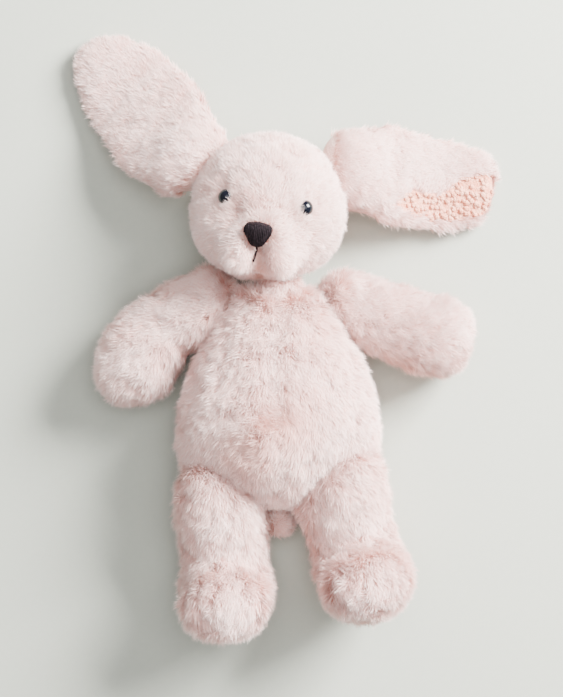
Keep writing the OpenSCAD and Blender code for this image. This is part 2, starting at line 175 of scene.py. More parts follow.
def with_modifiers_applied(obj):
    """Replaces the object's mesh with what its modifiers make of it."""
    depsgraph = bpy.context.evaluated_depsgraph_get()
    mesh = bpy.data.meshes.new_from_object(obj.evaluated_get(depsgraph))
    old = obj.data
    obj.modifiers.clear()
    obj.data = mesh
    mesh.name = obj.name
    bpy.data.meshes.remove(old)
    return obj


def solid_cover(name, nodes, hull=False):
    """One mesh of several solids of the frame, or of the hull round them."""
    bm = bmesh.new()
    if hull:
        for p in np.vstack([coords(NODES[n].data) for n in nodes]):
            bm.verts.new(p)
        out = bmesh.ops.convex_hull(bm, input=bm.verts)
        loose = [e for e in out["geom_interior"] if isinstance(e, bmesh.types.BMVert)]
        bmesh.ops.delete(bm, geom=loose, context="VERTS")
    else:
        for n in nodes:
            bm.from_mesh(NODES[n].data)
    return add_object(name, finished(bm, name))


def biggest_island(obj):
    """Keeps the outer skin and drops the shells inside it."""
    bm = bmesh.new()
    bm.from_mesh(obj.data)
    left = set(bm.verts)
    islands = []
    while left:
        stack = [left.pop()]
        island = set(stack)
        while stack:
            for edge in stack.pop().link_edges:
                for v in edge.verts:
                    if v not in island:
                        island.add(v)
                        stack.append(v)
        left -= island
        islands.append(island)
    # The skin has by far the most vertices
    keep = max(islands, key=lambda i: max(v.co.z for v in i) - min(v.co.z for v in i) + len(i) * MM)
    bmesh.ops.delete(bm, geom=[v for i in islands if i is not keep for v in i], context="VERTS")
    bm.to_mesh(obj.data)
    bm.free()


def relaxed(obj, factor, times):
    """Smooths the mesh a little."""
    smooth = obj.modifiers.new("Smooth", "SMOOTH")
    smooth.factor = factor
    smooth.iterations = times
    with_modifiers_applied(obj)


def remeshed(obj, voxel):
    """Joins solids that touch or overlap into one even skin."""
    remesh = obj.modifiers.new("Remesh", "REMESH")
    remesh.mode = "VOXEL"
    remesh.voxel_size = voxel
    remesh.use_smooth_shade = True
    with_modifiers_applied(obj)
    biggest_island(obj)


def subdivided(obj):
    obj.modifiers.new("Subdivide", "SUBSURF").levels = 1
    with_modifiers_applied(obj)


def stuffed(obj, travel, frames=14, pressure=4.0):
    """Blows the cover up as its stuffing does, with a cap on how far a point travels."""
    scene = bpy.context.scene
    start = coords(obj.data)
    cloth = obj.modifiers.new("Cloth", "CLOTH")
    cloth.settings.use_pressure = True
    cloth.settings.uniform_pressure_force = pressure
    cloth.settings.effector_weights.gravity = 0
    cloth.settings.quality = 4
    for step in range(1, frames + 1):
        scene.frame_set(step)
    depsgraph = bpy.context.evaluated_depsgraph_get()
    swollen = obj.evaluated_get(depsgraph).to_mesh()
    move = coords(swollen) - start
    obj.evaluated_get(depsgraph).to_mesh_clear()
    obj.modifiers.remove(cloth)
    scene.frame_set(1)
    far = np.linalg.norm(move, axis=1, keepdims=True)
    move *= np.minimum(1, travel / np.maximum(far, 1e-9))
    set_coords(obj.data, start + move)


def cover(name, nodes, inset, voxel=4 * MM, hull=False, swell=0.8 * MM):
    """A padded cover: the solids' outer shape, drawn in a little and then stuffed until it is tight."""
    obj = solid_cover(name, nodes, hull)
    remeshed(obj, voxel)
    relaxed(obj, 0.5, 4)
    set_coords(obj.data, coords(obj.data) - normals(obj.data) * (inset + swell))
    stuffed(obj, swell)
    relaxed(obj, 0.5, 2)
    subdivided(obj)
    co = coords(obj.data)
    co[:, 2] = np.maximum(co[:, 2], SKIN_GAP)
    set_coords(obj.data, co)
    smooth_shaded(obj.data)
    return obj


def pushed(co, place, radius, push):
    """Moves the points near a place, fading out with distance."""
    return co + nearness(co, place, radius)[:, None] * np.asarray(push)


def facing_front(out):
    return ease(0, 0.4, out[:, 2])


def creased(co, out, path, width, depth):
    """Sinks a crease along a path, measured across the front of the piece."""
    near = np.full(len(co), 1e9)
    for a, b in zip(path[:-1], path[1:]):
        a, b = np.asarray(a)[:2], np.asarray(b)[:2]
        t = np.clip((co[:, :2] - a) @ (b - a) / max((b - a) @ (b - a), 1e-12), 0, 1)
        near = np.minimum(near, np.linalg.norm(co[:, :2] - (a + t[:, None] * (b - a)), axis=1))
    share = np.exp(-(near / width) ** 2) * facing_front(out)
    return co - out * (share * depth)[:, None]


# ---------- Materials ----------

class Value:
    """A value in a material, which can be added to and multiplied like a number."""

    def __init__(self, tree, socket):
        self.tree = tree
        self.socket = socket

    def _math(self, operation, *others):
        node = self.tree.nodes.new("ShaderNodeMath")
        node.operation = operation
        for socket, value in zip(node.inputs, others):
            plug(self.tree, socket, value)
        return Value(self.tree, node.outputs[0])

    def __add__(self, other):
        return self._math("ADD", self, other)

    def __sub__(self, other):
        return self._math("SUBTRACT", self, other)

    def __rsub__(self, other):
        return self._math("SUBTRACT", other, self)

    def __mul__(self, other):
        return self._math("MULTIPLY", self, other)

    __radd__ = __add__
    __rmul__ = __mul__

    def ramp(self, low, high):
        """0 up to low, 1 from high on, and a smooth rise between."""
        node = self.tree.nodes.new("ShaderNodeMapRange")
        node.interpolation_type = "SMOOTHSTEP"
        plug(self.tree, node.inputs["Value"], self)
        node.inputs["From Min"].default_value = low
        node.inputs["From Max"].default_value = high
        return Value(self.tree, node.outputs["Result"])


def plug(tree, socket, value):
    """Links a value to a socket, or sets a plain number or colour on it."""
    if isinstance(value, Value):
        tree.links.new(value.socket, socket)
    elif value is not None:
        socket.default_value = value


def made(tree, kind, out=0, settings=None, **inputs):
    """Adds a node, sets it up, and gives one of its outputs."""
    node = tree.nodes.new(kind)
    for key, value in (settings or {}).items():
        setattr(node, key, value)
    for key, value in inputs.items():
        plug(tree, node.inputs[key.replace("_", " ")], value)
    return Value(tree, node.outputs[out])


def blended(tree, share, a, b):
    """Colour a turning into colour b as the share goes from 0 to 1."""
    node = tree.nodes.new("ShaderNodeMix")
    node.data_type = "RGBA"
    plug(tree, node.inputs[0], share)
    for socket, value in ((node.inputs[6], a), (node.inputs[7], b)):
        plug(tree, socket, value if isinstance(value, Value) else (*value, 1))
    return Value(tree, node.outputs[2])


def new_material(name, rough, **constants):
    """A material with a Principled shader, and its tree, shader and place in the object."""
    mat = bpy.data.materials.new(name)
    mat.use_nodes = True
    tree = mat.node_tree
    shader = tree.nodes["Principled BSDF"]
    shader.inputs["Roughness"].default_value = rough
    for key, value in constants.items():
        shader.inputs[key.replace("_", " ")].default_value = value
    place = made(tree, "ShaderNodeTexCoord", "Object")
    return mat, tree, shader, place


def noise(tree, place, size, detail=2.0):
    return made(tree, "ShaderNodeTexNoise", "Fac", Vector=place, Scale=1 / size, Detail=detail)


def raised(tree, shader, height, depth):
    """Lets a height between 0 and 1 stand out by a depth."""
    bump = made(tree, "ShaderNodeBump", 0, None, Height=height, Distance=depth, Strength=1.0)
    plug(tree, shader.inputs["Normal"], bump)


PILE_ROOT = (0.66, 0.28, 0.21)
PILE_MID = (0.91, 0.62, 0.55)
PILE_TIP = (0.985, 0.875, 0.85)
# Warmer pile of some patches and tufts, which is also the painted shade in creases and partings
PILE_WARM = (0.82, 0.48, 0.40)
BACKING = (0.84, 0.57, 0.50)
LINING_TONES = ((0.74, 0.28, 0.17), (0.86, 0.45, 0.32))
# Painted shade between the lining's yarn loops
LINING_GAP_SHADE = (0.52, 0.16, 0.09)
THREAD_TONES = ((0.004, 0.0025, 0.0035), (0.015, 0.009, 0.012))
EYE_TONES = ((0.001, 0.001, 0.003), (0.004, 0.005, 0.010))
NYLON_TONES = ((0.80, 0.80, 0.78), (0.88, 0.88, 0.86))
FLOOR_TONES = ((0.40, 0.42, 0.36), (0.43, 0.45, 0.39))
# Sizes of what repeats in the materials
WARM_PATCH = 26 * MM
KNIT_STITCH = 0.9 * MM
YARN_LOOP = 0.7 * MM
THREAD_TWIST = 1.2 * MM
# Share of the light on a fibre that passes through it
THROUGH_FIBRE = 0.38


def fur_material():
    """Plush pile: pinker at its roots, pale at its tips, with each tuft a little different, and painted shade
    in creases and partings.
    """
    mat, tree, shader, place = new_material(
        "plush_pile", 0.85, Sheen_Weight=0.25, Sheen_Roughness=0.6, Specular_IOR_Level=0.12)
    along = made(tree, "ShaderNodeAttribute", "Fac", {"attribute_name": "along"})
    shade = made(tree, "ShaderNodeAttribute", "Fac", {"attribute_name": "tuft_shade"})
    warm = noise(tree, place, WARM_PATCH).ramp(0.42, 0.72)
    colour = blended(tree, along.ramp(0.0, 0.55), PILE_ROOT, PILE_MID)
    colour = blended(tree, along.ramp(0.35, 1.0), colour, PILE_TIP)
    blush = made(tree, "ShaderNodeAttribute", "Fac", {"attribute_name": "blush"})
    # Warmer in noise patches and some tufts, and painted pinker and darker as shade in the muzzle's cleft and
    # the tummy's partings
    colour = blended(tree, warm * 0.2 + shade * 0.2 + blush * 0.6, colour, PILE_WARM)
    plug(tree, shader.inputs["Base Color"], colour)
    through = made(tree, "ShaderNodeBsdfTranslucent", 0, None, Color=colour)
    mix = tree.nodes.new("ShaderNodeMixShader")
    mix.inputs[0].default_value = THROUGH_FIBRE
    tree.links.new(shader.outputs[0], mix.inputs[1])
    tree.links.new(through.socket, mix.inputs[2])
    tree.links.new(mix.outputs[0], tree.nodes["Material Output"].inputs["Surface"])
    return mat


def backing_material():
    """Knitted backing that the pile is rooted in."""
    mat, tree, shader, place = new_material("plush_backing", 0.9, Sheen_Weight=0.2)
    blotch = noise(tree, place, 7 * MM)
    colour = blended(tree, blotch, BACKING, PILE_MID)
    plug(tree, shader.inputs["Base Color"], colour)
    knit = made(tree, "ShaderNodeTexVoronoi", "Distance", None, Vector=place, Scale=1 / KNIT_STITCH)
    raised(tree, shader, knit, 0.3 * MM)
    return mat


def lining_material():
    """Nubby peach lining: curled yarn loops, with painted shade that makes it deeper between the nubs."""
    mat, tree, shader, place = new_material("ear_lining", 0.88, Sheen_Weight=0.3)
    loops = made(tree, "ShaderNodeTexVoronoi", "Distance", None, Vector=place, Scale=1 / YARN_LOOP)
    blotch = noise(tree, place, 2.5 * MM)
    colour = blended(tree, blotch.ramp(0.3, 0.7), *LINING_TONES)
    # Painted shade: darker in the low parts between the yarn loops, where the bump sinks
    colour = blended(tree, loops.ramp(0.2, 0.8) * 0.5, colour, LINING_GAP_SHADE)
    plug(tree, shader.inputs["Base Color"], colour)
    raised(tree, shader, 1 - loops, 0.35 * MM)
    return mat


def thread_material():
    """Dark embroidery thread with a twist."""
    mat, tree, shader, place = new_material("embroidery_thread", 0.75, Specular_IOR_Level=0.1)
    tone = noise(tree, place, 0.8 * MM)
    colour = blended(tree, tone.ramp(0.35, 0.7), *THREAD_TONES)
    plug(tree, shader.inputs["Base Color"], colour)
    twist = made(tree, "ShaderNodeTexWave", "Fac", {"bands_direction": "DIAGONAL"},
                 Vector=place, Scale=1 / THREAD_TWIST, Distortion=1.0)
    raised(tree, shader, twist, 0.06 * MM)
    return mat


def eye_material():
    """Glossy black plastic with a trace of dust in its gloss."""
    mat, tree, shader, place = new_material("eye_gloss", 0.08, Specular_IOR_Level=0.4)
    dust = noise(tree, place, 0.5 * MM, 4.0)
    plug(tree, shader.inputs["Base Color"], blended(tree, dust, *EYE_TONES))
    plug(tree, shader.inputs["Roughness"], dust.ramp(0.4, 1.0) * 0.18 + 0.05)
    return mat


def nylon_material():
    """Plain white moulded plastic of the washers behind the eyes."""
    mat, tree, shader, place = new_material("washer_nylon", 0.5)
    grain = noise(tree, place, 0.6 * MM)
    plug(tree, shader.inputs["Base Color"], blended(tree, grain, *NYLON_TONES))
    raised(tree, shader, grain, 0.05 * MM)
    return mat


def floor_material():
    """Pale paper under the toy."""
    mat, tree, shader, place = new_material("floor_paper", 0.9)
    grain = noise(tree, place, 3 * MM)
    plug(tree, shader.inputs["Base Color"], blended(tree, grain, *FLOOR_TONES))
    return mat


# ---------- Pile ----------

FIBRE_LEN = 8 * MM
FIBRE_W = 0.34 * MM
TUFT_R = 1.1 * MM
FIBRES_A_TUFT = 7
# How far up its length, and how far across its cell of the flat layout, each point of a fibre is
FIBRE_UP = (0, 0.5, 0.5, 1)
FIBRE_ACROSS = (0.5, 0.9, 0.1, 0.5)
FIBRE_VERTS = len(FIBRE_UP)
FIBRE_TRIANGLES = 2
TUFT_TRIANGLES = FIBRES_A_TUFT * FIBRE_TRIANGLES
TUFT_KINDS = 5
TUFT_SEED = 11
# How far a fibre bends over, as a share of its length
FIBRE_CURL = 0.30
# How much each tuft strays from its neighbours
STRAY = 0.22
# Triangles of pile on each piece, which stays under 200,000
PILE_TRIANGLES = {
    "torso_pile_front": 198000, "torso_pile_back": 130000, "head_pile_face": 198000, "head_pile_back": 110000,
    "neck_pile": 14000, "arm_left_pile": 160000, "arm_right_pile": 160000, "leg_left_pile": 175000,
    "leg_right_pile": 175000, "ear_left_pile": 150000, "ear_right_pile": 150000, "tail_pile": 24000,
}


def tuft(name, seed):
    """A tuft of curved fibres whose flat sides face away from the skin, drawn along +Z."""
    rand = random.Random(seed)
    verts, faces, along = [], [], []
    for k in range(FIBRES_A_TUFT):
        turn = 2 * math.pi * (k + rand.random() * 0.7) / FIBRES_A_TUFT
        root = Vector((math.cos(turn), math.sin(turn), 0)) * TUFT_R * rand.uniform(0.35, 1.0)
        tall = FIBRE_LEN * rand.uniform(0.72, 1.05)
        curl = Vector((FIBRE_CURL + rand.uniform(-0.14, 0.14), rand.uniform(-0.16, 0.16), 0)) * tall
        gather = rand.uniform(-0.5, 0.5)
        half = Vector((rand.uniform(-0.35, 0.35), 1, 0)).normalized() * FIBRE_W / 2
        mid = root * (1 - gather * 0.4) + curl * 0.32 + Vector((0, 0, tall * 0.52))
        tip = root * (1 - gather) + curl + Vector((0, 0, tall))
        base = len(verts)
        verts += [root, mid + half, mid - half, tip]
        faces += [(base, base + 1, base + 2), (base + 2, base + 1, base + 3)]
        along += FIBRE_UP
    mesh = bpy.data.meshes.new(name)
    mesh.from_pydata(verts, [], faces)
    mesh.attributes.new("along", "FLOAT", "POINT").data.foreach_set("value", along)
    return bpy.data.objects.new(name, mesh)


TUFTS = bpy.data.collections.new("tufts")
for n in range(TUFT_KINDS):
    TUFTS.objects.link(tuft(f"tuft_{n}", TUFT_SEED + n))


def add_node(tree, kind, **settings):
    node = tree.nodes.new(kind)
    for key, value in settings.items():
        setattr(node, key, value)
    return node


def attribute_node(tree, name, kind):
    node = add_node(tree, "GeometryNodeInputNamedAttribute", data_type=kind)
    node.inputs["Name"].default_value = name
    return node.outputs["Attribute"]


def vector_math(tree, operation, a, b=None, scale=None):
    node = add_node(tree, "ShaderNodeVectorMath", operation=operation)
    for socket, value in ((node.inputs[0], a), (node.inputs[1], b), (node.inputs[3], scale)):
        if isinstance(value, bpy.types.NodeSocket):
            tree.links.new(value, socket)
        elif value is not None:
            socket.default_value = value
    return node.outputs[0]


def stored(tree, geometry, name, kind, value):
    node = add_node(tree, "GeometryNodeStoreNamedAttribute", data_type=kind, domain="POINT")
    node.inputs["Name"].default_value = name
    tree.links.new(geometry, node.inputs["Geometry"])
    tree.links.new(value, node.inputs["Value"])
    return node.outputs["Geometry"]


def fur_tree():
    """Tufts over a skin, leaning along its comb and ruffled in clumps."""
    tree = bpy.data.node_groups.new("Fur", "GeometryNodeTree")
    sockets = {}
    for name, kind in (("Skin", "Geometry"), ("Tufts", "Collection"), ("Density", "Float"),
                       ("Seed", "Int"), ("Lean", "Float"), ("Ruffle", "Float"),
                       ("Clump Size", "Float"), ("Material", "Material")):
        sockets[name] = tree.interface.new_socket(name, in_out="INPUT", socket_type=f"NodeSocket{kind}")
    tree.interface.new_socket("Fur", in_out="OUTPUT", socket_type="NodeSocketGeometry")
    ins = add_node(tree, "NodeGroupInput").outputs
    link = tree.links.new

    def times(a, b):
        node = add_node(tree, "ShaderNodeMath", operation="MULTIPLY")
        for socket, value in zip(node.inputs, (a, b)):
            if isinstance(value, bpy.types.NodeSocket):
                link(value, socket)
            else:
                socket.default_value = value
        return node.outputs[0]

    def spread(kind, low, high, salt):
        node = add_node(tree, "FunctionNodeRandomValue", data_type=kind)
        offset = 0 if kind == "FLOAT_VECTOR" else 2
        node.inputs[offset].default_value = low
        node.inputs[offset + 1].default_value = high
        seed = add_node(tree, "ShaderNodeMath", operation="ADD")
        link(ins["Seed"], seed.inputs[0])
        seed.inputs[1].default_value = salt
        link(seed.outputs[0], node.inputs["Seed"])
        return node.outputs[0 if kind == "FLOAT_VECTOR" else 1]

    def waves(size_share, amount):
        """Smooth swirls in which neighbouring tufts lean together."""
        scale = add_node(tree, "ShaderNodeMath", operation="DIVIDE")
        scale.inputs[0].default_value = 1 / size_share
        link(ins["Clump Size"], scale.inputs[1])
        tex = add_node(tree, "ShaderNodeTexNoise")
        tex.inputs["Detail"].default_value = 1.0
        link(scale.outputs[0], tex.inputs["Scale"])
        centred = vector_math(tree, "SUBTRACT", tex.outputs["Color"], (0.5, 0.5, 0.5))
        return vector_math(tree, "SCALE", centred, scale=times(ins["Ruffle"], amount))

    scatter = add_node(tree, "GeometryNodeDistributePointsOnFaces", distribute_method="RANDOM")
    link(ins["Skin"], scatter.inputs["Mesh"])
    link(times(ins["Density"], attribute_node(tree, "cover", "FLOAT")), scatter.inputs["Density"])
    link(ins["Seed"], scatter.inputs["Seed"])
    comb = attribute_node(tree, "comb", "FLOAT_VECTOR")
    swirl = vector_math(tree, "ADD", waves(1.0, 3.0), waves(0.42, 1.8))
    stray = spread("FLOAT_VECTOR", (-1, -1, -1), (1, 1, 1), salt=5)
    growth = vector_math(tree, "ADD", scatter.outputs["Normal"],
                         vector_math(tree, "SCALE", comb, scale=ins["Lean"]))
    growth = vector_math(tree, "ADD", growth, swirl)
    growth = vector_math(tree, "ADD", growth, vector_math(tree, "SCALE", stray, scale=STRAY))
    side = vector_math(tree, "ADD", comb, vector_math(tree, "ADD", swirl,
                       vector_math(tree, "SCALE", stray, scale=0.5)))
    stand = add_node(tree, "FunctionNodeAlignRotationToVector", axis="Z")
    link(vector_math(tree, "NORMALIZE", growth), stand.inputs["Vector"])
    face = add_node(tree, "FunctionNodeAlignRotationToVector", axis="X", pivot_axis="Z")
    link(stand.outputs[0], face.inputs["Rotation"])
    link(side, face.inputs["Vector"])
    size = add_node(tree, "ShaderNodeCombineXYZ")
    wide = spread("FLOAT", 0.85, 1.2, salt=9)
    stretch = times(spread("FLOAT", 0.78, 1.12, salt=7), 1 / FIBRE_LEN)
    tall = times(attribute_node(tree, "pile", "FLOAT"), stretch)
    link(wide, size.inputs[0])
    link(wide, size.inputs[1])
    link(tall, size.inputs[2])
    points = stored(tree, scatter.outputs["Points"], "skin_normal", "FLOAT_VECTOR", scatter.outputs["Normal"])
    points = stored(tree, points, "tuft_shade", "FLOAT", spread("FLOAT", 0.0, 1.0, salt=13))
    pick = add_node(tree, "GeometryNodeCollectionInfo")
    link(ins["Tufts"], pick.inputs["Collection"])
    pick.inputs["Separate Children"].default_value = True
    pick.inputs["Reset Children"].default_value = True
    plant = add_node(tree, "GeometryNodeInstanceOnPoints")
    link(points, plant.inputs["Points"])
    link(pick.outputs[0], plant.inputs["Instance"])
    plant.inputs["Pick Instance"].default_value = True
    link(face.outputs[0], plant.inputs["Rotation"])
    link(size.outputs[0], plant.inputs["Scale"])
    real = add_node(tree, "GeometryNodeRealizeInstances")
    link(plant.outputs[0], real.inputs[0])
    paint = add_node(tree, "GeometryNodeSetMaterial")
    link(real.outputs[0], paint.inputs["Geometry"])
    link(ins["Material"], paint.inputs["Material"])
    out = add_node(tree, "NodeGroupOutput")
    link(paint.outputs[0], out.inputs[0])
    return tree, {name: socket.identifier for name, socket in sockets.items()}


FUR_TREE, FUR_INPUT = fur_tree()
FUR = fur_material()


def area_of(mesh, weight):
    """Area of a mesh, counted by a weight at its vertices."""
    total = 0.0
    for poly in mesh.polygons:
        total += poly.area * float(np.mean(weight[list(poly.vertices)]))
    return total


def laid_out(mesh):
    """Gives each tuft a cell of its own in the flat layout."""
    loops = np.empty(len(mesh.loops), np.int32)
    mesh.loops.foreach_get("vertex_index", loops)
    tuft_verts = FIBRES_A_TUFT * FIBRE_VERTS
    which, local = loops // tuft_verts, loops % tuft_verts
    cells = math.ceil(math.sqrt(max(1, len(mesh.vertices) // tuft_verts)))
    across = (local // FIBRE_VERTS + np.array(FIBRE_ACROSS)[local % FIBRE_VERTS]) / FIBRES_A_TUFT
    up = np.array(FIBRE_UP)[local % FIBRE_VERTS]
    margin = 0.1
    u = (which % cells + margin + across * (1 - 2 * margin)) / cells
    v = (which // cells + margin + up * (1 - 2 * margin)) / cells
    layer = mesh.uv_layers.new(name="OFBake")
    layer.data.foreach_set("uv", np.stack([u, v], 1).astype(np.float32).ravel())


def furred(name, skin, seed, lean=0.7, ruffle=1.0, clump=9 * MM, where=None):
    """A mesh of pile on a skin, whose attributes say how it lies."""
    cover_all = np.empty(len(skin.data.vertices), np.float32)
    skin.data.attributes["cover"].data.foreach_get("value", cover_all)
    part = cover_all if where is None else cover_all * where
    skin.data.attributes["cover"].data.foreach_set("value", part.astype(np.float32))
    density = PILE_TRIANGLES[name] / TUFT_TRIANGLES / max(area_of(skin.data, part), 1e-9)
    mod = skin.modifiers.new("Fur", "NODES")
    mod.node_group = FUR_TREE
    for key, value in (("Tufts", TUFTS), ("Density", density), ("Seed", seed), ("Lean", lean),
                       ("Ruffle", ruffle), ("Clump Size", clump), ("Material", FUR)):
        mod[FUR_INPUT[key]] = value
    depsgraph = bpy.context.evaluated_depsgraph_get()
    mesh = bpy.data.meshes.new_from_object(skin.evaluated_get(depsgraph))
    skin.modifiers.remove(mod)
    skin.data.attributes["cover"].data.foreach_set("value", cover_all)
    fur = add_object(name, mesh)
    mesh.name = name
    co = coords(mesh)
    # Fibres that reach the surface under the toy are pressed softly against it
    low = co[:, 2] < SKIN_GAP
    co[low, 2] = FLOOR_GAP + (SKIN_GAP - FLOOR_GAP) * np.exp((co[low, 2] - SKIN_GAP) / PRESS_SOFT)
    set_coords(mesh, co)
    soft = unit(rows(mesh.attributes["skin_normal"].data, "vector")).astype(np.float32)
    mesh.attributes.new("custom_normal", "FLOAT_VECTOR", "POINT").data.foreach_set("vector", soft.ravel())
    drop_attributes(mesh, "skin_normal", "comb", "cover", "pile")
    laid_out(mesh)
    return fur


# How strongly a parting turns the pile
WHORL_TURN = 1.6


def whorl(co, comb, place, radius, turn):
    """Turns the pile round a place, as where it has been parted by hand. Gives the comb, and the share that
    paints the parting pinker and darker, as painted shade with the roots' tone.
    """
    share = nearness(co, place, radius)
    around = np.cross([0.0, 0.0, turn], unit(co - place))
    return comb + around * share[:, None] * WHORL_TURN, share


def set_pile(skin, comb, length, density, blush=0.0):
    """Writes how the pile lies on a skin: its direction, length and cover, and where it is painted pinker and
    darker, as painted shade in creases and partings.
    """
    count = len(skin.data.vertices)
    out = normals(skin.data)
    comb = np.asarray(comb, float)
    comb = comb - out * np.sum(comb * out, axis=1, keepdims=True)
    values = (("comb", "FLOAT_VECTOR", "vector", comb.astype(np.float32).ravel()),
              ("pile", "FLOAT", "value", np.broadcast_to(length, count).astype(np.float32)),
              ("cover", "FLOAT", "value", np.broadcast_to(density, count).astype(np.float32)),
              ("blush", "FLOAT", "value", np.broadcast_to(blush, count).astype(np.float32)))
    for name, kind, field, data in values:
        skin.data.attributes.new(name, kind, "POINT").data.foreach_set(field, np.ascontiguousarray(data))


def drop_attributes(mesh, *names):
    for name in names:
        if name in mesh.attributes:
            mesh.attributes.remove(mesh.attributes[name])


def dressed(skin, furs, body, replaced):
    """Puts a cover and its pile on a body, in place of the frame's solids; given no body's name, it leaves
    them where they are in the world.
    """
    skin.data.materials.clear()
    skin.data.materials.append(BACKING_MAT)
    drop_attributes(skin.data, "comb", "cover", "pile", "blush")
    for piece in (skin, *furs):
        if isinstance(body, str):
            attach(piece, body)
        else:
            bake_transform(piece)
    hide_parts(*replaced)


# ---------- Materials that several pieces share ----------

BACKING_MAT = backing_material()
LINING_MAT = lining_material()
THREAD_MAT = thread_material()


# ---------- Torso ----------

TORSO_PILE = 6.4 * MM
TORSO_SEAM_W = 3.4 * MM
TORSO_SEAM_DEPTH = 1.5 * MM
# Where no pile grows, as distances from the joints' centres that the limbs and the neck fill
BARE_HIP = 13 * MM
BARE_SHOULDER = 8.5 * MM
BARE_NECK = (9 * MM, 10 * MM)
# Partings in the tummy's pile: across, along, reach (mm) and which way they turn; the pile there is painted
# darker, as painted shade with the roots' tone
PARTINGS = ((-19, -25, 13, 1), (-7, -17, 10, -1), (6, -38, 11, 1), (3, -8, 14, -1))


def make_torso():
    """The body, flatter where the legs come up over it, with its front seam and its partings."""
    skin = cover("torso_cover", TORSO_PANELS, 0.6 * MM, hull=True)
    co, out = coords(skin.data), normals(skin.data)
    top = TORSO_MID + [0, TORSO_HALF[1], 0]
    seam = [top - [0, 4 * MM, 0], TORSO_MID + [-1 * MM, 8 * MM, 0], TORSO_MID + [1.5 * MM, -30 * MM, 0]]
    co = creased(co, out, seam, TORSO_SEAM_W, TORSO_SEAM_DEPTH)
    co[:, 1] += ease(TORSO_MID[1] - 20 * MM, TORSO_MID[1] - 52 * MM, co[:, 1]) * 5 * MM
    for side in SIDES:
        hip = PIVOT[f"hip_{side}_bend"]
        co = pushed(co, hip + [0, 2 * MM, 26 * MM], 22 * MM, [0, 0, -17 * MM])
        shoulder, out_x = PIVOT[f"shoulder_{side}_lift"], OUT_X[side]
        above = shoulder + np.array([-9 * out_x, 8, 8]) * MM
        co = pushed(co, above, 13 * MM, np.array([1.5 * out_x, 5, 2]) * MM)
    co = pushed(co, TORSO_MID + [0, -46 * MM, TORSO_HALF[2] * 0.6], 16 * MM, [0, 0, -4 * MM])
    set_coords(skin.data, co)
    out = normals(skin.data)
    rel = (co - TORSO_MID) / TORSO_HALF
    comb = np.stack([rel[:, 0] * 0.5, np.full(len(co), -1.0), np.full(len(co), -0.25)], 1)
    bare = np.ones(len(co))
    for side in SIDES:
        for joint, r in ((f"hip_{side}_bend", BARE_HIP), (f"shoulder_{side}_lift", BARE_SHOULDER)):
            bare *= ease(r * 0.85, r, distance(co, PIVOT[joint]))
    bare *= ease(*BARE_NECK, distance(co, PIVOT["neck_nod"]))
    blush = np.zeros(len(co))
    for across, along, radius, turn in PARTINGS:
        place = TORSO_MID + np.array([across, along, TORSO_HALF[2] / MM]) * MM
        comb, share = whorl(co, comb, place, radius * MM, turn)
        # The partings are painted pinker and darker: painted shade in the parting, with the roots' tone
        blush = np.maximum(blush, share * 0.9)
    set_pile(skin, comb, TORSO_PILE, bare, blush)
    front = ease(-0.35, -0.2, out[:, 2])
    furs = [furred("torso_pile_front", skin, 3, lean=0.55, ruffle=0.55, clump=11 * MM, where=front),
            furred("torso_pile_back", skin, 4, lean=0.55, ruffle=0.55, clump=11 * MM, where=1 - front)]
    dressed(skin, furs, "torso", BODIES["torso"])


# ---------- Head ----------

HEAD_PILE = 5.2 * MM
NECK_PILE = 5 * MM
# How deep an eye sits, how hollow it is beside the muzzle, how proud its inner lid is,
# and how near to its middle the pile grows
EYE_DIMPLE = {"left": 1.0 * MM, "right": 1.6 * MM}
EYE_HOLLOW = {"left": 1.4 * MM, "right": 2.6 * MM}
EYE_LID = {"left": 1.0 * MM, "right": 3.0 * MM}
EYE_SHOWN = {"left": 1.7 * MM, "right": 1.2 * MM}
# Puffs of the muzzle: across and up from the nose, and how full they are (mm)
MUZZLE = ((-9.5, -11, 8.5), (9.5, -11.5, 7.0))
# How full the cheek below each eye is (mm)
CHEEK = {"left": 1.8, "right": 2.4}
CLEFT_X = 0.4 * MM
CLEFT_W = 3.9 * MM
CLEFT_DEPTH = 8.5 * MM


